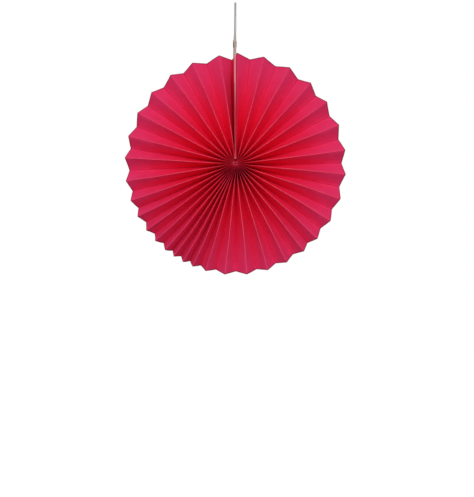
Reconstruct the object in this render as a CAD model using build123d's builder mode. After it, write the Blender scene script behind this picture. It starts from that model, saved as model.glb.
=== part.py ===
from build123d import *
from math import asin, cos, hypot, pi, radians, sin, sqrt, tan
import os

# Paper fan rosette: one long sheet folded to and fro, gathered at its inner end and opened to a full
# circle. It hangs upright by a loop of string. The origin is the top of that loop's inside, where a hook
# bears. +Z is up, the pleats show their front folds towards -Y, and +X is to the viewer's right.
# Everything is in millimetres.

# The folded sheet
fan_radius = 201.7  # of the round that the tips of the front folds lie on
hub_rise = 1.0  # how far above the middle of that round the pleats are gathered
notch_depth = 5.8  # how much further in the back folds end, because the sheet's edge is cut aslant
paper_thickness = 0.12
packing_gap = 0.05  # between neighbouring layers at the eye, where they stand side by side
flattest_depth = 17.0  # front to back of the widest pleat, at the rim
turning_steps = 5  # lengths in which a panel turns from edge-on at the centre to open at the rim

# Where the front folds were left at the rim when the fan was opened, in degrees clockwise from the top:
# wide over the top and bunched at the lower left. At the centre the pleats are even.
front_folds = [1, 15, 29.5, 43, 56, 69.5, 83, 95.5, 108.5, 121, 132.5, 142, 152.5, 163, 174, 185.5, 195.5]
front_folds += [202.5, 208, 213.5, 219, 226, 233, 241.5, 250.5, 261, 273, 284.5, 297.5, 310.5, 324, 337]
front_folds += [351.5]
last_back_angle = 358.0  # of the back fold beside the left strip, in degrees

# The two strips of greyboard at the seam, with the tape that holds them together
strip_thickness = 1.8
strip_width = 28.0  # front to back
strip_overhang = 24.0  # above the tips of the pleats
strip_corner = 3.0  # rounding of the outer corners
tape_thickness = 0.2
tape_width = 18.0
tape_margin = 6.0  # bare strip past each end of the tape
bond_edge = 4.0  # the end panels are glued to the strips to this far past the strips' middle

# The binding at the centre
binding_radius = 7.0
thread_diameter = 0.5
thread_clearance = 0.3

# The string
string_diameter = 1.5
string_clearance = 0.1  # between the string and the strips' faces, and between its strands in the knot
hole_radius = 2.0
hole_inset = 11.7  # from the strips' upper ends down to the middle of the punched holes
loop_rise = 70.3  # from the strips' upper ends up to the inside of the loop's top
loop_width = 3.1  # between the two strands' middles, where they go over the hook
shoulder_rise = 0.9  # from the strips' upper ends up to where the strands turn inwards
neck_rise = 3.0  # and up to where they run side by side
knot_height = 6.0
knot_wall = 1.0
knot_rounding = 0.9
knot_gap = 4.4  # from the strips' upper ends up to the knot
strands_apart = 1.0  # how far above the knot the strands start to part again

# Worked out from these
fold_width = paper_thickness + packing_gap
fold_count = 2 * len(front_folds)
back_folds = [(a + b) / 2 for a, b in zip(front_folds, front_folds[1:])] + [last_back_angle]
rim_turns = [radians(turn) for pair in zip(front_folds, back_folds) for turn in pair]
seam_half = strip_thickness + tape_thickness / 2
glued_half = seam_half + paper_thickness / 2
punch = thread_diameter + 2 * thread_clearance
eye_radius = (fold_count + 1) * fold_width / (2 * pi)
throat_radius = binding_radius + punch / 2  # where the strips start and the end panels part round them
throat_turn = asin((glued_half + fold_width / 2) / throat_radius)
strip_top = fan_radius - hub_rise + strip_overhang  # this and the next two are heights above the hub
hole_height = strip_top - hole_inset
loop_height = strip_top + loop_rise
hub = Plane((0, 0, -loop_height), x_dir=(1, 0, 0), z_dir=(0, -1, 0))
hub_side = Plane((0, 0, -loop_height), x_dir=(0, 1, 0), z_dir=(1, 0, 0))


def polar(radius, turn):
    """A place on the fan's face, across and up from its centre."""
    return radius * sin(turn), radius * cos(turn)


def fold_route(fold):
    """A fold from above: its places at the eye, at the throat and at the rim. Odd folds are back ones."""
    eye = polar(eye_radius, 2 * pi * (fold + 1) / (fold_count + 1))
    throat = polar(throat_radius, throat_turn + 2 * (pi - throat_turn) * fold / (fold_count - 1))
    rim_radius = fan_radius - hub_rise * cos(rim_turns[fold]) - notch_depth * (fold % 2)
    rim = polar(rim_radius, rim_turns[fold])
    return eye, throat, rim


def glued_route(fold, side):
    """A line of the end panel beside the first or the last fold, on its strip from the throat outwards."""
    eye, throat, rim = fold_route(fold)
    return (side * fold_width / 2, eye[1]), (side * glued_half, throat[1]), (side * glued_half, rim[1])


def leg(route, reach):
    """The two places that a reach lies between: 0 is the eye, 1 the throat and 2 the rim."""
    return (route[0], route[1]) if reach < 1 else (route[1], route[2])


def along(route, reach):
    (x0, z0), (x1, z1) = leg(route, reach)
    share = reach if reach < 1 else reach - 1
    return x0 + share * (x1 - x0), z0 + share * (z1 - z0)


def across(route, reach):
    """The direction across a line of the sheet, clockwise, in X and Z."""
    x, z = 0, 0
    for (x0, z0), (x1, z1) in (leg(route, reach - 0.01), leg(route, reach + 0.01)):
        length = hypot(x1 - x0, z1 - z0)
        x, z = x + (x1 - x0) / length, z + (z1 - z0) / length
    return z / hypot(x, z), -x / hypot(x, z)


def spread(fold, reach):
    """The distance that a panel spans over the face of the fan, from this fold to the next."""
    (x0, z0), (x1, z1) = along(fold_route(fold), reach), along(fold_route(fold + 1), reach)
    return max(hypot(x1 - x0, z1 - z0) - fold_width, 0)


panel_width = hypot(max(spread(fold, 2) for fold in range(fold_count - 1)), flattest_depth)


def fold_depth(fold, reach):
    """The Y of a fold. The seam holds its two folds at full depth, and the rest settle about Y = 0."""
    beside = [side for side in (fold - 1, fold) if 0 <= side < fold_count - 1]
    spanned = sum(spread(side, reach) for side in beside) / len(beside)
    depth = sqrt(panel_width**2 - spanned**2)
    settled = (2 * fold / (fold_count - 1) - 1) ** 3
    return (depth if fold % 2 else -depth) / 2 + settled * (panel_width - depth) / 2


def bends(reach):
    """Every bend of the sheet at one reach, as its place in the middle of the paper and its direction across."""
    first, last = glued_route(0, 1), glued_route(fold_count - 1, -1)
    lines = [(first, strip_width / 2, 0), (first, -bond_edge, 0)]
    for fold in range(fold_count):
        lines += [(fold_route(fold), fold_depth(fold, reach), side * fold_width / 2) for side in (-1, 1)]
    lines += [(last, bond_edge, 0), (last, -strip_width / 2, 0)]
    found = []
    for route, depth, aside in lines:
        (x, z), cross = along(route, reach), across(route, reach)
        found.append((Vector(x + aside * cross[0], depth, z + aside * cross[1]), Vector(cross[0], 0, cross[1])))
    return found


def face_normal(start, end, cross):
    """The way out of the sheet's front between two bends, as across and front to back."""
    over, deep = (end - start).dot(cross), end.Y - start.Y
    return deep / hypot(over, deep), -over / hypot(over, deep)


def sheet_rows(reach):
    """The points of the sheet's front and back faces at one reach, mitred so that the thickness holds."""
    places = bends(reach)
    last = len(places) - 1
    front, back = [], []
    for i, (place, cross) in enumerate(places):
        before, after = max(i - 1, 0), min(i, last - 1)
        a = face_normal(places[before][0], places[before + 1][0], cross)
        b = face_normal(places[after][0], places[after + 1][0], cross)
        mitre = paper_thickness / 2 / (1 + a[0] * b[0] + a[1] * b[1])
        step = cross * (mitre * (a[0] + b[0])) + Vector(0, mitre * (a[1] + b[1]), 0)
        middle = place - Vector(0, 0, loop_height)
        front.append(middle + step)
        back.append(middle - step)
    return front, back


def facet(*corners):
    return Face(Wire.make_polygon(corners))


def patch(a, b, c, d):
    """Two flat facets between four points that aren't quite in one plane."""
    return [facet(a, b, c), facet(a, c, d)]


def ladder(inner, outer):
    """Flat facets between two rows of points that run the same way."""
    skin, i, j = [], 0, 0
    while i < len(inner) - 1 or j < len(outer) - 1:
        if j * (len(inner) - 1) <= i * (len(outer) - 1) and j < len(outer) - 1:
            skin.append(facet(inner[i], outer[j], outer[j + 1]))
            j += 1
        else:
            skin.append(facet(inner[i], outer[j], inner[i + 1]))
            i += 1
    return skin


def with_hole(row, like):
    """One panel's row of points, with the two corners of the hole for the thread put in."""
    shares = [(y - like[0].Y) / (like[1].Y - like[0].Y) for y in (-punch / 2, punch / 2)]
    return [row[0], *[row[0] + (row[1] - row[0]) * share for share in sorted(shares)], row[1]]


def panel_rows(reach, punched):
    """The front and back rows of points of each panel and each fold's crest, in order round the fan."""
    front, back = sheet_rows(reach)
    rows = []
    for i in range(len(front) - 1):
        pair = (front[i : i + 2], back[i : i + 2])
        glued = i in (0, len(front) - 2)
        between_folds = i % 2 == 1 and 1 < i < len(front) - 3
        if punched and (glued or between_folds):
            pair = tuple(with_hole(row, pair[0]) for row in pair)
        rows.append(pair)
    return rows


def folded_sheet():
    hole_start = (binding_radius - punch / 2 - eye_radius) / (throat_radius - eye_radius)
    reaches = [0, hole_start] + [1 + step / turning_steps for step in range(turning_steps + 1)]
    rings = [panel_rows(reach, reach in (hole_start, 1)) for reach in reaches]
    skin = []
    for inner_ring, outer_ring in zip(rings, rings[1:]):
        for (front_in, back_in), (front_out, back_out) in zip(inner_ring, outer_ring):
            if len(front_in) == len(front_out) == 4:
                for inner, outer in ((front_in, front_out), (back_in, back_out)):
                    skin += ladder(inner[:2], outer[:2]) + ladder(inner[2:], outer[2:])
                for i in (1, 2):
                    skin += patch(front_in[i], front_out[i], back_out[i], back_in[i])
                for front, back in ((front_in, back_in), (front_out, back_out)):
                    skin += patch(front[1], front[2], back[2], back[1])
            else:
                skin += ladder(front_in, front_out) + ladder(back_in, back_out)
        for end, point in ((0, 0), (-1, -1)):
            (front_in, back_in), (front_out, back_out) = inner_ring[end], outer_ring[end]
            skin += patch(front_in[point], front_out[point], back_out[point], back_in[point])
    for ring in (rings[0], rings[-1]):
        for front, back in ring:
            skin += patch(front[0], front[1], back[1], back[0])
    return Solid(Shell(skin))


# The folded sheet: one solid of flat facets, because paper stays flat between its folds
sheet = folded_sheet()
with BuildPart() as pleated_paper:
    add(sheet, clean=False)

# The right strip stands on edge beside the seam, from the throat to above the rim
with BuildPart() as end_strip_right:
    with BuildSketch(hub_side.offset(tape_thickness / 2)) as strip_outline:
        with Locations((0, (throat_radius + strip_top) / 2)):
            Rectangle(strip_width, strip_top - throat_radius)
        fillet(strip_outline.vertices().group_by(Axis.Z)[-1], radius=strip_corner)
        with Locations((0, hole_height)):
            Circle(hole_radius, mode=Mode.SUBTRACT)
    extrude(amount=strip_thickness)

with BuildPart() as end_strip_left:
    mirror(end_strip_right.part, about=Plane.YZ)

# The tape lies between the strips, short of the binding at one end and of the rim at the other
tape_start = throat_radius + tape_margin
tape_end = fan_radius - hub_rise - notch_depth - tape_margin
with BuildPart() as adhesive_tape:
    with BuildSketch(hub_side.offset(-tape_thickness / 2)):
        with Locations((0, (tape_start + tape_end) / 2)):
            Rectangle(tape_width, tape_end - tape_start)
    extrude(amount=tape_thickness)

# The thread runs in a ring through the hole in every panel
with BuildPart(hub) as binding_thread:
    Torus(binding_radius, thread_diameter / 2)

# The string starts in its knot, goes down over the left strip, through the hole, up over the right
# strip and through the knot, then up over the hook and back down into the knot
strand = string_diameter / 2
beside_strip = seam_half + string_clearance + strand
in_knot = strand + string_clearance / 2
over_hook = loop_width / 2
in_hole = hole_height + hole_radius - string_diameter - loop_height
shoulder = shoulder_rise - loop_rise
neck = neck_rise - loop_rise
knot_bottom = knot_gap - loop_rise
knot_middle = knot_bottom + knot_height / 2
above_knot = knot_bottom + knot_height + strands_apart
end_gap = string_clearance / 2
left_of_knot = [(-in_knot, knot_middle - end_gap), (-in_knot, neck), (-beside_strip, shoulder)]
through_hole = [(-beside_strip, in_hole), (beside_strip, in_hole)]
right_side = [(beside_strip, shoulder), (in_knot, neck), (in_knot, above_knot)]
over_hook_and_back = [(over_hook, strand), (-over_hook, strand)]
down_to_knot = [(-in_knot, above_knot), (-in_knot, knot_middle + end_gap)]
string_route = left_of_knot + through_hole + right_side + over_hook_and_back + down_to_knot


def corner_radius(before, corner, after):
    """Tight at the hole and the hook, and elsewhere as round a bend as the two runs leave room for."""
    if corner in through_hole:
        return string_diameter
    if corner in over_hook_and_back:
        return over_hook - end_gap
    run_in, run_out = Vector(*corner) - Vector(*before), Vector(*after) - Vector(*corner)
    half_turn = radians(run_in.get_angle(run_out)) / 2
    return 0.45 * min(run_in.length, run_out.length) / tan(half_turn)


string_radii = [corner_radius(*three) for three in zip(string_route, string_route[1:], string_route[2:])]
print("string bends", [round(radius, 1) for radius in string_radii])
with BuildPart() as hanging_string:
    with BuildLine(Plane.XZ) as string_path:
        FilletPolyline(*string_route, radius=string_radii)
    with BuildSketch(Plane(string_path.line @ 0, z_dir=string_path.line % 0)):
        Circle(strand)
    sweep(path=string_path.line)

print("string length", round(sum(edge.length for edge in string_path.edges()), 1))

# The knot: the string's turns round its own two strands, as one band with rounded edges
with BuildPart() as string_knot:
    with BuildSketch(Plane.XY.offset(knot_bottom)):
        SlotCenterToCenter(2 * in_knot, string_diameter + 2 * string_clearance + 2 * knot_wall)
    extrude(amount=knot_height)
    fillet(string_knot.faces().filter_by(Axis.Z).edges(), radius=knot_rounding)
    with BuildSketch(Plane.XY.offset(knot_bottom)):
        SlotCenterToCenter(2 * in_knot, string_diameter + 2 * string_clearance)
    extrude(amount=knot_height, mode=Mode.SUBTRACT)

pleated_paper.part.label = "pleated_paper"
end_strip_left.part.label = "end_strip_left"
end_strip_right.part.label = "end_strip_right"
adhesive_tape.part.label = "adhesive_tape"
binding_thread.part.label = "binding_thread"
hanging_string.part.label = "hanging_string"
string_knot.part.label = "string_knot"

os.makedirs("parts", exist_ok=True)
export_step(pleated_paper.part, "parts/pleated_paper.step")
export_step(end_strip_left.part, "parts/end_strip_left.step")
export_step(end_strip_right.part, "parts/end_strip_right.step")
export_step(adhesive_tape.part, "parts/adhesive_tape.step")
export_step(binding_thread.part, "parts/binding_thread.step")
export_step(hanging_string.part, "parts/hanging_string.step")
export_step(string_knot.part, "parts/string_knot.step")
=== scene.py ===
from math import asin, copysign, cos, hypot, pi, radians, sin, sqrt

import bmesh
import bpy
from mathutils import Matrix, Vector
from mathutils.noise import noise


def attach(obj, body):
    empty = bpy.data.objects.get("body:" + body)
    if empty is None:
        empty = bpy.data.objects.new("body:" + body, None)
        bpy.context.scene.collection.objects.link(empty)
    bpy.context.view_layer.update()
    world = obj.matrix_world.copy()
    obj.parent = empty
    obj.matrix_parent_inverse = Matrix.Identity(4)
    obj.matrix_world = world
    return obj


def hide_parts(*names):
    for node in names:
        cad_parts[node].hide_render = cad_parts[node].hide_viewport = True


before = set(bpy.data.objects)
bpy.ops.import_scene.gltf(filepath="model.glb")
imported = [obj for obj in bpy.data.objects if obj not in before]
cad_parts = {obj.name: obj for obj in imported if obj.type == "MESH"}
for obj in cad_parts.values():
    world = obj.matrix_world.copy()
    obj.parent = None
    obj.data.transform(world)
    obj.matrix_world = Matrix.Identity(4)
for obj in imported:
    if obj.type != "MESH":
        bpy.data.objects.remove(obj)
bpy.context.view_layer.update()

MM = 0.001

# The photograph's frame: 474 by 497 pixels, 1.818 mm to a pixel at the pleats' front tips
PHOTO_HIGH = 497
PIXEL_MM = 1.818
CAMERA_AWAY_MM = 1600.0
CAMERA_X_MM = 3.0
CAMERA_Z_MM = -449.5
FRONT_TIPS_Y_MM = -13.0
SENSOR_MM = 36

# The folded sheet, as its solid has it, in millimetres
FAN_RADIUS = 201.7
HUB_RISE = 1.0
NOTCH_DEPTH = 5.8
PAPER_THICKNESS = 0.12
PACKING_GAP = 0.05
FLATTEST_DEPTH = 17.0
FRONT_FOLDS = [1, 15, 29.5, 43, 56, 69.5, 83, 95.5, 108.5, 121, 132.5, 142, 152.5, 163, 174, 185.5, 195.5]
FRONT_FOLDS += [202.5, 208, 213.5, 219, 226, 233, 241.5, 250.5, 261, 273, 284.5, 297.5, 310.5, 324, 337]
FRONT_FOLDS += [351.5]
LAST_BACK_ANGLE = 358.0
STRIP_THICKNESS = 1.8
STRIP_WIDTH = 28.0
TAPE_THICKNESS = 0.2
BOND_EDGE = 4.0
BINDING_RADIUS = 7.0
THREAD_DIAMETER = 0.5
THREAD_CLEARANCE = 0.3
STRING_DIAMETER = 1.5
HUB_Z = -295.0

# A reach is a place along a fold: 0 at the eye, 1 at the throat, where the boards start, and 2 at the rim.
# A span is the start and the end of a change, as two reaches or as two heights above the hub.

# How far the front folds bow clockwise of their straight lines: near the hub, and two thirds out
INNER_BOWS = [0, 0.3, 0.8, 1.3, 1.8, 2.6, 1.7, 1.8, 2.0, 1.2, 1.0, 1.5, 0.7, 0.4, 0.9, 0.2, 0.1, -0.4, -0.8]
INNER_BOWS += [-1.2, -1.3, -1.3, -0.8, -1.6, -1.8, -1.2, -1.5, -0.9, -1.5, -0.6, -0.7, 0.9, 2.5]
OUTER_BOWS = [0.2, 1.1, 0.3, 0.9, 1.3, 1.4, 1.4, 0.4, 0.1, -0.4, -1.0, 0.2, -0.7, -0.6, -0.8, -0.9, -1.0]
OUTER_BOWS += [-1.5, -1.7, -1.8, -1.6, -1.7, -1.2, -2.2, -1.3, -1.2, -0.5, 0, -0.5, 0.3, 0.4, 1.6, 1.9]
BOW_STARTS = (1, 1.1)
BOW_CHANGES = (1.25, 1.65)
BOW_ENDS = (1.7, 2)

# How far the panels bow off their flat: a broad curve, and a fine one on it
BROAD_BOW = 1.5
FINE_BOW = 0.35
PANELS_OPEN = (1.08, 1.58)

# How much wider than in the solid a fold is rounded, to each side, and how much of that it stands out by
CREST_OPENING = 0.36
CREST_OPENS = (1, 1.2)
CREST_RISE = 0.45

# How close the layers lie at the eye, in mm, and up to what share of the way to the throat they loosen
EYE_GAP = 0.005
EYE_LOOSENS = (0, 0.35)

# How the boards stand. Together with their tape they are pressed thinner towards the hub, where their ends
# splay, and again above the rim: each figure is what half of their thickness changes by.
PRESSED = 0.95
PRESSED_LESS = (20, 200)
SPLAYED = 0.95
SPLAYED_LESS = (12, 26)
TAB_THINNED = 0.35
TAB_STARTS = (190, 205)
# Their backs lean to the left by a slope, a little more above the rim, and in between they bend aside
LEANING = 0.079
LEANING_STARTS = (50, 170)
TAB_TURNED = 0.45
BENT = 0.6
BENT_STARTS = (20, 80)
BENT_ENDS = (185, 210)
# At the hub, short of the tape, their bare ends close up over this length. All edges are broken by so much.
BARE_END = 3.5
BROKEN_EDGE = 0.15

FOLD_WIDTH = PAPER_THICKNESS + PACKING_GAP
FOLD_COUNT = 2 * len(FRONT_FOLDS)
BACK_FOLDS = [(a + b) / 2 for a, b in zip(FRONT_FOLDS, FRONT_FOLDS[1:])] + [LAST_BACK_ANGLE]
RIM_TURNS = [radians(turn) for pair in zip(FRONT_FOLDS, BACK_FOLDS) for turn in pair]
BOARDS_HALF = STRIP_THICKNESS + TAPE_THICKNESS / 2
GLUED_HALF = BOARDS_HALF + PAPER_THICKNESS / 2
PUNCH = THREAD_DIAMETER + 2 * THREAD_CLEARANCE
EYE_FOLD_WIDTH = PAPER_THICKNESS + EYE_GAP
EYE_RADIUS = (FOLD_COUNT + 1) * EYE_FOLD_WIDTH / (2 * pi)
THROAT_RADIUS = BINDING_RADIUS + PUNCH / 2
THROAT_TURN = asin((GLUED_HALF + FOLD_WIDTH / 2) / THROAT_RADIUS)
# The thread's holes run from this reach to the throat, and the end panels open onto the boards from the next
PUNCH_REACH = (BINDING_RADIUS - PUNCH / 2 - EYE_RADIUS) / (THROAT_RADIUS - EYE_RADIUS)
CLOSED_REACH = 0.98


# Camera, straight on as in the photograph
def make_camera():
    camera = bpy.data.objects.new("camera", bpy.data.cameras.new("camera"))
    bpy.context.scene.collection.objects.link(camera)
    camera.location = (CAMERA_X_MM * MM, (FRONT_TIPS_Y_MM - CAMERA_AWAY_MM) * MM, CAMERA_Z_MM * MM)
    camera.rotation_euler = (pi / 2, 0, 0)
    camera.data.sensor_width = SENSOR_MM
    camera.data.lens = SENSOR_MM * CAMERA_AWAY_MM / (PHOTO_HIGH * PIXEL_MM)
    camera.data.clip_start, camera.data.clip_end = 0.01, 100
    bpy.context.scene.camera = camera


# The string, first as its middle line in X and Z: the points of its solid's route, with some moved
# to keep the line clear of the strips and to give the loop the width that the photograph shows
STRING_ROUTE = [
    (-1.3, -62.95),
    (-2.0, -66.6),
    (-3.75, -69.1),
    (-3.55, -75.5),
    (-3.9, -81.5),
    (2.0, -81.5),
    (1.65, -75.5),
    (1.95, -69.1),
    (0.2, -67.1),
    (0.3, -58.9),
    (0.85, -53.5),
    (0.9, -9.0),
    (1.0, -1.2),
    (1.0, 0.75),
    (-1.0, 0.75),
    (-1.0, -1.2),
    (-0.9, -9.0),
    (-1.55, -53.5),
    (-1.6, -58.4),
    (-1.3, -62.85),
]
STRING_LAY = 4.2

# The string's knot: seven turns of its own end, wound close round the two strands
KNOT_TURNS = 7
KNOT_STEPS = 40
KNOT_LOW, KNOT_HIGH = -67.4, -59.6
KNOT_ASIDE = -0.8
KNOT_RADIUS = 1.3
KNOT_WIDENED = 0.8
KNOT_SIDES_STEEP = 2.2
KNOT_STRING = 1.0
KNOT_LAY = 3.4

# The binding thread, a ring with this many twists
THREAD_STEPS = 240
THREAD_TWISTS = 30

# Three round plies fill a round string best when each has this share of its thickness
PLIES = 3
PLY_SHARE = 0.464


def string_points():
    """The string's middle as one smooth open spline, read back as points."""
    curve = bpy.data.curves.new("string_line", "CURVE")
    curve.dimensions = "3D"
    curve.resolution_u = 48
    spline = curve.splines.new("NURBS")
    spline.points.add(len(STRING_ROUTE) - 1)
    for point, (x, z) in zip(spline.points, STRING_ROUTE):
        point.co = (x * MM, 0, z * MM, 1)
    spline.order_u = 3
    spline.use_endpoint_u = True
    line = bpy.data.objects.new("string_line", curve)
    mesh = bpy.data.meshes.new_from_object(line)
    points = [vertex.co.copy() for vertex in mesh.vertices]
    bpy.data.meshes.remove(mesh)
    bpy.data.objects.remove(line)
    return points


def laid_string(name, path, diameter, lay_length, side, closed=False):
    """A string of plies, twisted round a path. The side is a direction that the path never runs in."""
    curve = bpy.data.curves.new(name, "CURVE")
    curve.dimensions = "3D"
    curve.bevel_depth = PLY_SHARE * diameter / 2
    curve.bevel_resolution = 2
    curve.use_fill_caps = True
    for ply in range(PLIES):
        spline = curve.splines.new("POLY")
        spline.points.add(len(path) - 1)
        run = 0
        for i, place in enumerate(path):
            before, after = path[max(i - 1, 0)], path[min(i + 1, len(path) - 1)]
            if closed:
                before, after = path[i - 1], path[(i + 1) % len(path)]
            if i:
                run += (place - path[i - 1]).length
            ahead = (after - before).normalized()
            out = (side - ahead * side.dot(ahead)).normalized()
            turn = 2 * pi * (run / lay_length + ply / PLIES)
            offset = (1 - PLY_SHARE) * diameter / 2 * (cos(turn) * out + sin(turn) * ahead.cross(out))
            spline.points[i].co = (*(place + offset), 1)
        spline.use_cyclic_u = closed
    holder = bpy.data.objects.new(name, curve)
    mesh = bpy.data.meshes.new_from_object(holder)
    bpy.data.objects.remove(holder)
    mesh.name = name
    return place_piece(name, mesh)


def place_piece(name, mesh):
    piece = bpy.data.objects.new(name, mesh)
    bpy.context.scene.collection.objects.link(piece)
    return piece


def make_string():
    path = string_points()
    return laid_string("string", path, STRING_DIAMETER * MM, STRING_LAY * MM, Vector((0, 1, 0))), path


def make_knot():
    path = []
    for step in range(KNOT_TURNS * KNOT_STEPS + 1):
        turn = 2 * pi * step / KNOT_STEPS + pi / 2
        widened = KNOT_WIDENED * max(-1, min(1, KNOT_SIDES_STEEP * cos(turn)))
        across = KNOT_RADIUS * cos(turn) + widened + KNOT_ASIDE
        up = KNOT_LOW + (KNOT_HIGH - KNOT_LOW) * step / (KNOT_TURNS * KNOT_STEPS)
        path.append(Vector((across, KNOT_RADIUS * sin(turn), up)) * MM)
    return laid_string("knot", path, KNOT_STRING * MM, KNOT_LAY * MM, Vector((0, 0, 1)))


def make_thread():
    path = []
    for step in range(THREAD_STEPS):
        turn = 2 * pi * step / THREAD_STEPS
        path.append(Vector((BINDING_RADIUS * sin(turn), 0, HUB_Z + BINDING_RADIUS * cos(turn))) * MM)
    lay = 2 * pi * BINDING_RADIUS * MM / THREAD_TWISTS
    return laid_string("thread", path, THREAD_DIAMETER * MM, lay, Vector((0, 1, 0)), closed=True)


# The folded sheet again, with the rules of its solid at finer steps, so that its panels can bow
def polar(radius, turn):
    return Vector((radius * sin(turn), radius * cos(turn)))


def fold_route(fold):
    """A fold from above: its places at the eye, at the throat and at the rim. Odd folds are back ones."""
    eye = polar(EYE_RADIUS, 2 * pi * (fold + 1) / (FOLD_COUNT + 1))
    throat = polar(THROAT_RADIUS, THROAT_TURN + 2 * (pi - THROAT_TURN) * fold / (FOLD_COUNT - 1))
    rim_radius = FAN_RADIUS - HUB_RISE * cos(RIM_TURNS[fold]) - NOTCH_DEPTH * (fold % 2)
    rim = polar(rim_radius, RIM_TURNS[fold])
    return eye, throat, rim


FOLD_ROUTES = [fold_route(fold) for fold in range(FOLD_COUNT)]
EYE_TO_THROAT = (FOLD_ROUTES[0][1] - FOLD_ROUTES[0][0]).length
THROAT_TO_RIM = (FOLD_ROUTES[0][2] - FOLD_ROUTES[0][1]).length
SHEET_WIDE = EYE_TO_THROAT + THROAT_TO_RIM
# The rows of the sheet, close together where the thread's holes and the throat are
REACHES = [0, 0.35, 0.7, PUNCH_REACH, CLOSED_REACH, 1, 1.02, 1.05]
REACHES += [1.1 + 0.9 * step / 24 for step in range(25)]


def part_way(value, span):
    """How far a value is through a span, from 0 to 1."""
    return max(0, min(1, (value - span[0]) / (span[1] - span[0])))


def ease(value, span):
    """The same, with a soft start and a soft end."""
    share = part_way(value, span)
    return share * share * (3 - 2 * share)


def leg(route, reach):
    """The two places that a reach lies between."""
    return route[:2] if reach < 1 else route[1:]


def along(route, reach):
    start, end = leg(route, reach)
    return start.lerp(end, reach if reach < 1 else reach - 1)


def across(route, reach):
    """The direction across a line of the sheet, clockwise."""
    total = Vector((0, 0))
    for start, end in (leg(route, reach - 0.01), leg(route, reach + 0.01)):
        total += (end - start).normalized()
    total.normalize()
    return Vector((total.y, -total.x))


def board_half(height):
    """Half of what the two boards and their tape are thick."""
    pressed = PRESSED * (1 - ease(height, PRESSED_LESS)) + TAB_THINNED * ease(height, TAB_STARTS)
    return BOARDS_HALF - pressed + SPLAYED * (1 - ease(height, SPLAYED_LESS))


def askew(height, depth):
    """How far the boards stand to the right, at a height and at a depth from their middle."""
    from_front = depth / STRIP_WIDTH + 0.5
    lean = -LEANING * ease(height, LEANING_STARTS) * from_front * STRIP_WIDTH
    turned = TAB_TURNED * ease(height, TAB_STARTS) * (1 - from_front)
    return lean + turned - BENT * ease(height, BENT_STARTS) * (1 - ease(height, BENT_ENDS))


def crest_half(reach):
    """Half the width of a fold's rounded crest, which is tight at the eye and opens out from the hub."""
    packed = EYE_FOLD_WIDTH + (FOLD_WIDTH - EYE_FOLD_WIDTH) * ease(reach, EYE_LOOSENS)
    return packed / 2 + CREST_OPENING * ease(reach, CREST_OPENS)


def glued_place(fold, side, depth, reach):
    """A point of the end panel beside the first or the last fold, on its board from the throat outwards."""
    height = along(FOLD_ROUTES[fold], reach).y
    off_board = side * crest_half(min(reach, 1))
    on_board = side * (board_half(height) + PAPER_THICKNESS / 2) + askew(height, depth)
    return Vector((off_board + ease(reach, (CLOSED_REACH, 1)) * (on_board - off_board), height))


def crease_bow(fold, reach):
    """How far a fold stands clockwise of its straight line. A back fold goes with the front ones beside it,
    and both ends of a fold, and the seam's last one, stay in place."""
    if fold == FOLD_COUNT - 1:
        return 0
    beside = [fold // 2, (fold + 1) // 2]
    inner = sum(INNER_BOWS[front] for front in beside) / 2
    outer = sum(OUTER_BOWS[front] for front in beside) / 2
    further = ease(reach, BOW_CHANGES)
    return inner * ease(reach, BOW_STARTS) * (1 - further) + outer * further * (1 - ease(reach, BOW_ENDS))


def fold_place(fold, reach):
    route = FOLD_ROUTES[fold]
    return along(route, reach) + crease_bow(fold, reach) * across(route, reach)


def spread(fold, reach):
    """The distance that a panel spans over the face of the fan, from this fold to the next."""
    return max((fold_place(fold + 1, reach) - fold_place(fold, reach)).length - FOLD_WIDTH, 0)


PANEL_WIDTH = hypot(max(spread(fold, 2) for fold in range(FOLD_COUNT - 1)), FLATTEST_DEPTH)
FOLD_PITCH = PANEL_WIDTH + FOLD_WIDTH


def fold_depth(fold, reach):
    """The Y of a fold. The seam holds its two folds at full depth, and the rest settle about Y = 0."""
    beside = [side for side in (fold - 1, fold) if 0 <= side < FOLD_COUNT - 1]
    spanned = sum(spread(side, reach) for side in beside) / len(beside)
    depth = sqrt(PANEL_WIDTH**2 - spanned**2)
    settled = (2 * fold / (FOLD_COUNT - 1) - 1) ** 3
    return (depth if fold % 2 else -depth) / 2 + settled * (PANEL_WIDTH - depth) / 2


def bends(reach):
    """Every bend of the sheet at one reach, in the middle of the paper."""
    last, half = FOLD_COUNT - 1, crest_half(reach)
    found = [(glued_place(0, 1, depth, reach), depth) for depth in (STRIP_WIDTH / 2, -BOND_EDGE)]
    for fold, route in enumerate(FOLD_ROUTES):
        middle, aside, depth = fold_place(fold, reach), half * across(route, reach), fold_depth(fold, reach)
        found += [(middle - aside, depth), (middle + aside, depth)]
    found += [(glued_place(last, -1, depth, reach), depth) for depth in (BOND_EDGE, -STRIP_WIDTH / 2)]
    return [Vector((place.x, depth, place.y + HUB_Z)) for place, depth in found]


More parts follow.
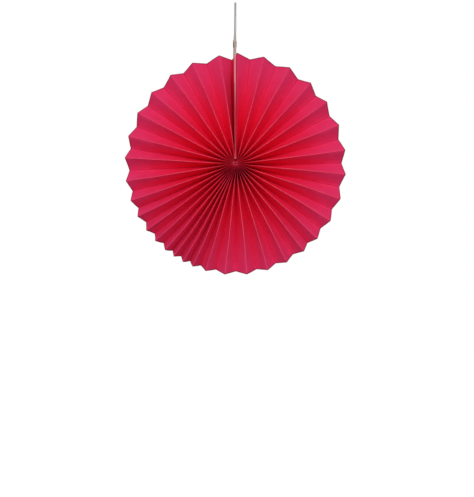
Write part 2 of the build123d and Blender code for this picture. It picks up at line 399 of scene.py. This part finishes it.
def sheet_columns():
    """The sheet's lines from eye to rim: the bend each lies after, its share of the way to the next, and
    its distance along the flat sheet from the first fold. Punched columns bound the thread's holes."""
    at_throat, at_rim = bends(1), bends(2)
    columns, punched = [], set()
    reached = -(at_rim[2] - at_rim[1]).length - (at_rim[1] - at_rim[0]).length - FOLD_WIDTH / 2
    for i in range(len(at_throat) - 1):
        start, end = at_throat[i], at_throat[i + 1]
        wide = (at_rim[i + 1] - at_rim[i]).length
        if i in (1, len(at_throat) - 3):
            shares = [0, 0.33, 0.67]
        elif i % 2 or i in (0, len(at_throat) - 2):
            hole = sorted((y - start.y) / (end.y - start.y) for y in (-PUNCH / 2, PUNCH / 2))
            shares = [0, hole[0] / 2, *hole, (1 + hole[1]) / 2]
            punched.add(len(columns) + 2)
            if 1 < i < len(at_throat) - 3:
                wide = PANEL_WIDTH
        else:
            shares = [0, 0.5]
            wide = FOLD_WIDTH
        columns += [(i, share, reached + share * wide) for share in shares]
        reached += wide
    return columns + [(len(at_throat) - 2, 1, reached)], punched, reached - columns[0][2]


def bow(panel, share, reach):
    """How far a panel of real paper stands off its flat: each reads its own stretch of a smooth noise, so
    that each has a soft curve of its own."""
    broad = BROAD_BOW * noise((panel * 1.37, reach * 0.9, 2.5))
    fine = FINE_BOW * noise((panel * 2.11, reach * 7, share * 3))
    return part_way(reach, PANELS_OPEN) * (broad + fine) * sin(pi * share)


def make_paper():
    columns, punched, length = sheet_columns()
    rows = [bends(reach) for reach in REACHES]
    work = bmesh.new()
    bmesh.ops.create_grid(work, x_segments=len(columns) - 1, y_segments=len(REACHES) - 1, size=1)
    spots = {}
    for vertex in work.verts:
        column = round((vertex.co.x + 1) / 2 * (len(columns) - 1))
        row = round((vertex.co.y + 1) / 2 * (len(REACHES) - 1))
        spots[vertex] = (column, row)
    holes = []
    for face in work.faces:
        column = min(spots[vertex][0] for vertex in face.verts)
        row = min(spots[vertex][1] for vertex in face.verts)
        if column in punched and PUNCH_REACH <= REACHES[row] < 1:
            holes.append(face)
    bmesh.ops.delete(work, geom=holes, context="FACES")
    flat = work.loops.layers.uv.new("flat_sheet")
    for vertex in work.verts:
        column, row = spots[vertex]
        i, share, _ = columns[column]
        start, end = rows[row][i], rows[row][i + 1]
        place = start.lerp(end, share)
        if 1 < i < len(rows[row]) - 3 and share:
            if i % 2:
                normal = (end - start).cross(Vector((place.x, 0, place.z - HUB_Z))).normalized()
                place += normal * bow(i // 2, share, REACHES[row])
            else:
                opened = crest_half(REACHES[row]) - FOLD_WIDTH / 2
                place.y += CREST_RISE * opened * (1 if i % 4 == 0 else -1)
        vertex.co = place * MM
    for face in work.faces:
        for loop in face.loops:
            column, row = spots[loop.vert]
            reach = REACHES[row]
            from_rim = (2 - reach) * THROAT_TO_RIM
            if reach < 1:
                from_rim = THROAT_TO_RIM + (1 - reach) * EYE_TO_THROAT
            loop[flat].uv = (columns[column][2] * MM, from_rim * MM)
    mesh = bpy.data.meshes.new("paper")
    work.to_mesh(mesh)
    work.free()
    paper = place_piece("paper", mesh)
    wall = paper.modifiers.new("thickness", "SOLIDIFY")
    wall.thickness = PAPER_THICKNESS * MM
    wall.offset = 0
    wall.use_even_offset = True
    settle(paper)
    mesh = paper.data
    mesh.shade_smooth()
    mesh.set_sharp_from_angle(angle=radians(35))
    faces = len(mesh.polygons)
    print("flat sheet", round(length, 1), "mm long, panels", round(PANEL_WIDTH, 2), "faces", faces)
    return paper


def settle(piece):
    """Keeps a piece's modifiers in its mesh."""
    bpy.context.view_layer.update()
    seen = piece.evaluated_get(bpy.context.evaluated_depsgraph_get())
    mesh = bpy.data.meshes.new_from_object(seen)
    piece.modifiers.clear()
    piece.data = mesh


# The boards and their tape: the solids, pressed and turned as the seam is, with cut edges slightly broken
def make_seam_piece(node, name, broken_edge=0):
    work = bmesh.new()
    work.from_mesh(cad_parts[node].data)
    bmesh.ops.remove_doubles(work, verts=work.verts, dist=0.001 * MM)
    bmesh.ops.dissolve_limit(work, angle_limit=radians(1), verts=work.verts, edges=work.edges)
    for reach in REACHES[REACHES.index(1) + 1 :]:
        height = HUB_Z + along(FOLD_ROUTES[0], reach).y
        everything = work.verts[:] + work.edges[:] + work.faces[:]
        bmesh.ops.bisect_plane(work, geom=everything, plane_co=(0, 0, height * MM), plane_no=(0, 0, 1))
    half_tape = TAPE_THICKNESS / 2
    for vertex in work.verts:
        x, depth, height = vertex.co.x / MM, vertex.co.y / MM, vertex.co.z / MM - HUB_Z
        between = half_tape * ease(height, (THROAT_RADIUS, THROAT_RADIUS + BARE_END))
        thickness = (board_half(height) - between) / STRIP_THICKNESS
        x = copysign(between + (abs(x) - half_tape) * thickness, x)
        vertex.co.x = (x + askew(height, depth)) * MM
    sharp = [edge for edge in work.edges if edge.is_manifold and edge.calc_face_angle() > radians(40)]
    if broken_edge:
        bmesh.ops.bevel(
            work, geom=sharp, offset=broken_edge * MM, segments=2, affect="EDGES", profile=0.5, material=-1
        )
    bmesh.ops.recalc_face_normals(work, faces=work.faces)
    mesh = bpy.data.meshes.new(name)
    work.to_mesh(mesh)
    work.free()
    mesh.shade_smooth()
    mesh.set_sharp_from_angle(angle=radians(50))
    return place_piece(name, mesh)


# Materials
def colour(code):
    """An sRGB hex colour as linear light."""
    parts = [int(code[i : i + 2], 16) / 255 for i in (1, 3, 5)]
    return (*[part / 12.92 if part <= 0.04045 else ((part + 0.055) / 1.055) ** 2.4 for part in parts], 1)


def add(tree, kind, settings=(), links=()):
    """A node with its settings, by attribute or by socket, and what feeds its sockets."""
    node = tree.nodes.new(kind)
    for name, value in dict(settings).items():
        if isinstance(name, str) and hasattr(node, name):
            setattr(node, name, value)
        else:
            node.inputs[name].default_value = value
    for name, source in dict(links).items():
        tree.links.new(source, node.inputs[name])
    return node


def new_material(name):
    material = bpy.data.materials.new(name)
    material.use_nodes = True
    material.node_tree.nodes.clear()
    return material, material.node_tree


def finish_material(tree, shader):
    add(tree, "ShaderNodeOutputMaterial", {}, {"Surface": shader.outputs[0]})


def finish_surface(tree, tint, relief, strength, deep, look):
    """An opaque surface of one tint, with a relief that is so deep, and its look by the shader's sockets."""
    bump = add(tree, "ShaderNodeBump", {"Strength": strength, "Distance": deep}, {"Height": relief})
    links = {"Base Color": tint, "Normal": bump.outputs[0]}
    finish_material(tree, add(tree, "ShaderNodeBsdfPrincipled", look, links))


def object_place(tree):
    return add(tree, "ShaderNodeTexCoord").outputs["Object"]


def split(tree, place):
    """The three parts of a place."""
    return add(tree, "ShaderNodeSeparateXYZ", {}, {0: place}).outputs[:]


def grain(tree, place, scale, detail, roughness=0.5):
    """Cloudy noise, with so many clouds to the metre."""
    settings = {"Scale": scale, "Detail": detail, "Roughness": roughness}
    return add(tree, "ShaderNodeTexNoise", settings, {"Vector": place}).outputs[0]


def reckon(tree, operation, *values):
    """A sum, of numbers and of what other nodes give."""
    settings, links = {"operation": operation}, {}
    for socket, value in enumerate(values):
        (settings if isinstance(value, float) else links)[socket] = value
    return add(tree, "ShaderNodeMath", settings, links).outputs[0]


def fade(tree, source, start, end, low=0.0, high=1.0, soft=False):
    """A share that goes from low to high while its source goes from start to end."""
    settings = {"From Min": start, "From Max": end, "To Min": low, "To Max": high}
    if soft:
        settings["interpolation_type"] = "SMOOTHSTEP"
    return add(tree, "ShaderNodeMapRange", settings, {"Value": source}).outputs[0]


def mixed(tree, share, under, over):
    """Two tints, with so much of the second. Each is a hex colour or what a node gives."""
    settings, links = {"data_type": "RGBA"}, {0: share}
    for socket, tint in ((6, under), (7, over)):
        if isinstance(tint, str):
            settings[socket] = colour(tint)
        else:
            links[socket] = tint
    return add(tree, "ShaderNodeMix", settings, links).outputs[2]


# Dyed uncoated paper: no gloss, the dye a little uneven, pale along the folds that stand out from wear and a
# painted highlight, with a painted sheen towards the rim and painted shade in the hollows
def dyed_paper():
    material, tree = new_material("dyed_uncoated_paper")
    flat = add(tree, "ShaderNodeUVMap", {"uv_map": "flat_sheet"}).outputs[0]
    from_first, from_rim, _ = split(tree, flat)
    height = split(tree, object_place(tree))[2]
    from_front_fold = reckon(tree, "PINGPONG", from_first, FOLD_PITCH * MM)
    # rolled streaks along the pleats, 3 mm wide and 60 mm long
    stretched = add(tree, "ShaderNodeMapping", {"Scale": (330.0, 17.0, 1.0)}, {"Vector": flat})
    streaks = grain(tree, stretched.outputs[0], 1.0, 2.0)
    # fibres, drawn 0.7 mm across because the real 0.1 mm is too fine to show
    fibres = grain(tree, flat, 1400.0, 2.0)
    # the dye, with a painted sheen towards the rim
    tint = dye_and_rim_sheen(tree, flat, from_rim, streaks)
    # pale line on the front folds: partly wear, partly a painted highlight on the crests
    wear_and_highlight = fold_wear_and_highlight(tree, flat, from_first, from_rim, from_front_fold, height)
    tint = mixed(tree, wear_and_highlight, tint, "#FF5A6E")
    # painted shade in the pressed folds at the back, slightly darker
    valley_shade = fade(tree, from_front_fold, (FOLD_PITCH - 1.2) * MM, FOLD_PITCH * MM, 0.0, 0.4, soft=True)
    tint = mixed(tree, valley_shade, tint, "#8A1238")
    # painted shade in the valleys beside the seam
    tint = shaded_seam(tree, tint, from_first, from_rim)
    # painted shade under the hub, where the crowded pleats lie out of the light
    under = fade(tree, height, (HUB_Z - 3) * MM, (HUB_Z - 13) * MM)
    shade_under_hub = reckon(tree, "MULTIPLY", under, fade(tree, from_rim, 0.16, 0.178, 0.0, 0.3))
    tint = mixed(tree, shade_under_hub, tint, "#6A0814")
    # the raw inner edge, round the eye, is pale
    raw = fade(tree, from_rim, (SHEET_WIDE - 2.4) * MM, (SHEET_WIDE - 1.2) * MM, 0.0, 0.6)
    tint = mixed(tree, raw, tint, "#F4607C")
    # and inside the eye little light comes back
    inside = fade(tree, from_rim, (SHEET_WIDE - 0.9) * MM, (SHEET_WIDE - 0.4) * MM, 0.0, 0.9)
    tint = mixed(tree, inside, tint, "#40040A")
    # the cut edge at the rim, painted darker as a shaded edge
    tint = mixed(tree, fade(tree, from_rim, 0.0007, 0.0022, 0.85, 0.0), tint, "#7A1640")
    finish_surface(tree, tint, fibres, 0.5, 0.04 * MM, {"Roughness": 0.8, "Specular IOR Level": 0.05})
    return material


def dye_and_rim_sheen(tree, flat, from_rim, streaks):
    """The inner half is full red and the outer half goes over to pink, feathered by the streaks: the pink is
    a painted sheen towards the rim."""
    # dye clouds about 25 mm across
    clouds = grain(tree, flat, 40.0, 3.0, 0.6)
    feathered = reckon(tree, "MULTIPLY_ADD", streaks, 0.05, from_rim)
    # painted sheen: paler pink towards the rim
    rim_sheen = fade(tree, feathered, 0.025, 0.175, 1.0, 0.0, soft=True)
    deep = mixed(tree, clouds, "#F40D37", "#FB1342")
    sheen_pink = mixed(tree, clouds, "#E42E60", "#F23C76")
    streaked = fade(tree, streaks, 0.4, 0.75, 0.0, 0.25)
    return mixed(tree, streaked, mixed(tree, rim_sheen, deep, sheen_pink), "#F8426E")


def fold_wear_and_highlight(tree, flat, from_first, from_rim, from_front_fold, height):
    """A pale line on each front fold, about 1 mm wide so that it shows: partly wear, partly a painted
    highlight on the crest.
    """
    on_fold = fade(tree, from_front_fold, 0.0001, 0.0009, 1.0, 0.0, soft=True)
    # less towards the hub, though more low down, where the painted highlight takes the light from above, and
    # less again where the pleats are packed
    to_hub = fade(tree, from_rim, 0.02, 0.14, 0.35, 1.0)
    highlight_low_down = fade(tree, height, -0.2, -0.36, 0.0, 0.3)
    line_strength = reckon(tree, "MINIMUM", reckon(tree, "ADD", to_hub, highlight_low_down), 1.0)
    packed = fade(tree, from_rim, 0.115, 0.185, 1.0, 0.3)
    # where the pleats crowd, round the fortieth panel, the line is fainter
    middle = 40 * FOLD_PITCH * MM
    from_middle = reckon(tree, "PINGPONG", reckon(tree, "SUBTRACT", from_first, middle), middle)
    crowded = fade(tree, from_middle, 6 * FOLD_PITCH * MM, 11 * FOLD_PITCH * MM, 0.5, 1.0, soft=True)
    # the first fold is glued to its board, and its line is faint
    off_board = fade(tree, from_first, 0.0015, 0.003, 0.15, 1.0)
    for share in (packed, crowded, off_board):
        line_strength = reckon(tree, "MULTIPLY", line_strength, share)
    # broken up in patches 8 mm across
    broken_line = fade(tree, grain(tree, flat, 120.0, 3.0, 0.7), 0.3, 0.6, 0.35, 0.95)
    return reckon(tree, "MULTIPLY", reckon(tree, "MULTIPLY", on_fold, line_strength), broken_line)


def shaded_seam(tree, tint, from_first, from_rim):
    """Painted shade in the deep valley of the sheet's last fold, beside the boards, less at the rim, and on
    the first fold too, near the hub."""
    last_fold = (FOLD_COUNT - 1) * FOLD_PITCH
    # painted shade along the last fold, beside the boards
    at_last = fade(tree, from_first, (last_fold - 9) * MM, (last_fold - 2) * MM, 0.0, 0.85, soft=True)
    seam_shade = reckon(tree, "MULTIPLY", at_last, fade(tree, from_rim, 0.01, 0.06, 0.35, 1.0))
    tint = mixed(tree, seam_shade, tint, "#CA0018")
    # painted shade along the first fold, near the hub
    at_first = fade(tree, from_first, 0.002, 0.005, 1.0, 0.0)
    seam_shade = reckon(tree, "MULTIPLY", at_first, fade(tree, from_rim, 0.145, 0.18, 0.0, 0.75))
    return mixed(tree, seam_shade, tint, "#A0001C")


# Greyboard: pressed waste paper, matt and warm grey, with flecks, and its plies show where it is cut
def greyboard():
    material, tree = new_material("pressed_greyboard")
    place = object_place(tree)
    across_boards, _, height = split(tree, place)
    # plies 0.35 mm thick, along X
    plies = add(
        tree,
        "ShaderNodeTexWave",
        {"bands_direction": "X", "Scale": 2 * pi / 20 / (0.35 * MM), "Distortion": 1.5, "Detail": 2.0},
        {"Vector": place},
    ).outputs[0]
    flecks = grain(tree, place, 900.0, 4.0, 0.7)
    tint = mixed(tree, flecks, "#C4ABA0", "#E8D0C6")
    tint = mixed(tree, fade(tree, plies, 0.0, 1.0, 0.0, 0.3), tint, "#8C7468")
    # from the rim inwards the red of the paper has come off on it
    tint = mixed(tree, fade(tree, height, -0.101, -0.096, 0.85, 0.0), tint, "#F87E90")
    # and the inner half of both boards is painted red: the red light and shade of the pleats close beside
    # them
    tint = mixed(tree, fade(tree, height, -0.205, -0.145, 0.93, 0.0, soft=True), tint, "#E0344E")
    # painted shade on the left board's edge along its middle
    below = fade(tree, height, -0.152, -0.143, 1.0, 0.0)
    above = fade(tree, height, -0.245, -0.215)
    on_left = fade(tree, across_boards, -0.0012, -0.0006, 0.6, 0.0)
    left_edge_shade = reckon(tree, "MULTIPLY", reckon(tree, "MULTIPLY", below, above), on_left)
    tint = mixed(tree, left_edge_shade, tint, "#8A3038")
    finish_surface(tree, tint, flecks, 0.6, 0.05 * MM, {"Roughness": 0.85, "Specular IOR Level": 0.25})
    return material


# Cotton, spun and laid in plies: soft, with fibres that stand off and catch light at the edges
def cotton(name, dark, pale):
    material, tree = new_material(name)
    place = object_place(tree)
    # fibres 0.25 mm across, drawn coarser than the real ones so that they show
    fibres = grain(tree, place, 4000.0, 3.0)
    # unevenly bleached stretches, 5 mm long
    stretches = grain(tree, place, 200.0, 2.0)
    share = reckon(tree, "MULTIPLY", reckon(tree, "ADD", fibres, stretches), 0.5)
    look = {"Roughness": 0.9, "Specular IOR Level": 0.2, "Sheen Weight": 0.25, "Sheen Roughness": 0.5}
    finish_surface(tree, mixed(tree, share, dark, pale), fibres, 0.6, 0.03 * MM, look)
    return material


# Double-sided tape: a tissue soaked in clear glue, milky and slightly shiny
def tissue_tape():
    material, tree = new_material("double_sided_tissue_tape")
    # tissue fibres, 1 mm clumps
    clumps = grain(tree, object_place(tree), 1000.0, 4.0)
    tint = mixed(tree, clumps, "#D9D2BE", "#EFEBDD")
    finish_surface(tree, tint, clumps, 0.3, 0.02 * MM, {"Roughness": 0.35})
    return material


def wear_material(piece, material):
    piece.data.materials.clear()
    piece.data.materials.append(material)


def seen_outright(tree):
    """1 on rays that show a thing, straight, in a mirror or through glass, and 0 on those that light one."""
    rays = add(tree, "ShaderNodeLightPath").outputs
    either = reckon(tree, "MAXIMUM", rays["Is Camera Ray"], rays["Is Glossy Ray"])
    return reckon(tree, "MAXIMUM", either, rays["Is Transmission Ray"])


# Floor, backdrop and light: all pale and plain
def make_stage():
    work = bmesh.new()
    bmesh.ops.create_grid(work, x_segments=1, y_segments=1, size=8)
    bmesh.ops.translate(work, verts=work.verts, vec=(0, 0, -1.0))
    mesh = bpy.data.meshes.new("floor")
    work.to_mesh(mesh)
    work.free()
    floor = place_piece("floor", mesh)
    material, tree = new_material("white_floor")
    strength = reckon(tree, "MULTIPLY", seen_outright(tree), 0.86)
    matt = add(tree, "ShaderNodeBsdfDiffuse", {"Color": (0.3, 0.3, 0.3, 1)})
    glow = add(tree, "ShaderNodeEmission", {"Color": (1, 1, 1, 1)}, {"Strength": strength})
    finish_material(tree, add(tree, "ShaderNodeAddShader", {}, {0: matt.outputs[0], 1: glow.outputs[0]}))
    wear_material(floor, material)


def make_light():
    world = bpy.data.worlds.new("studio")
    bpy.context.scene.world = world
    world.use_nodes = True
    tree = world.node_tree
    tree.nodes.clear()
    strength = fade(tree, seen_outright(tree), 0.0, 1.0, 0.45, 1.0)
    sky = add(tree, "ShaderNodeBackground", {"Color": (1, 1, 1, 1)}, {"Strength": strength})
    add(tree, "ShaderNodeOutputWorld", {}, {"Surface": sky.outputs[0]})
    make_softbox("softbox_front", (0, -5.2, 1.15), 3.6, 158)
    make_softbox("softbox_back", (0, 2.4, 0.6), 1.6, 26)


def make_softbox(name, place, size, power):
    """A large even lamp, aimed at the fan's centre."""
    lamp = bpy.data.lights.new(name, "AREA")
    lamp.shape = "SQUARE"
    lamp.size = size
    lamp.energy = power
    softbox = bpy.data.objects.new(name, lamp)
    bpy.context.scene.collection.objects.link(softbox)
    softbox.location = place
    aim = Vector((0, 0, HUB_Z * MM)) - softbox.location
    softbox.rotation_euler = aim.to_track_quat("-Z", "Y").to_euler()


make_camera()
string, string_path = make_string()
knot = make_knot()
thread = make_thread()
paper = make_paper()
strip_left = make_seam_piece("end_strip_left", "strip_left", BROKEN_EDGE)
strip_right = make_seam_piece("end_strip_right", "strip_right", BROKEN_EDGE)
tape = make_seam_piece("adhesive_tape", "tape")

board = greyboard()
for piece, node, finish, material in (
    (paper, "pleated_paper", "crimson_paper", dyed_paper()),
    (strip_left, "end_strip_left", "greyboard", board),
    (strip_right, "end_strip_right", "greyboard", board),
    (tape, "adhesive_tape", "adhesive_tape", tissue_tape()),
    (thread, "binding_thread", "cotton_thread", cotton("cotton_sewing_thread", "#C9C2B8", "#EDE8E0")),
    (string, "hanging_string", "cotton_string", cotton("laid_cotton_string", "#524840", "#7F7264")),
    # the knot is the string's own cotton, painted paler to make up for the shade between its turns
    (knot, "string_knot", "cotton_string", cotton("string_cotton_painted_paler", "#CDC2B6", "#EFE6DA")),
):
    wear_material(piece, material)
    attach(piece, "root")
    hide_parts(node)

make_stage()
make_light()
scene = bpy.context.scene
scene.view_settings.view_transform = "Standard"

bpy.context.view_layer.update()
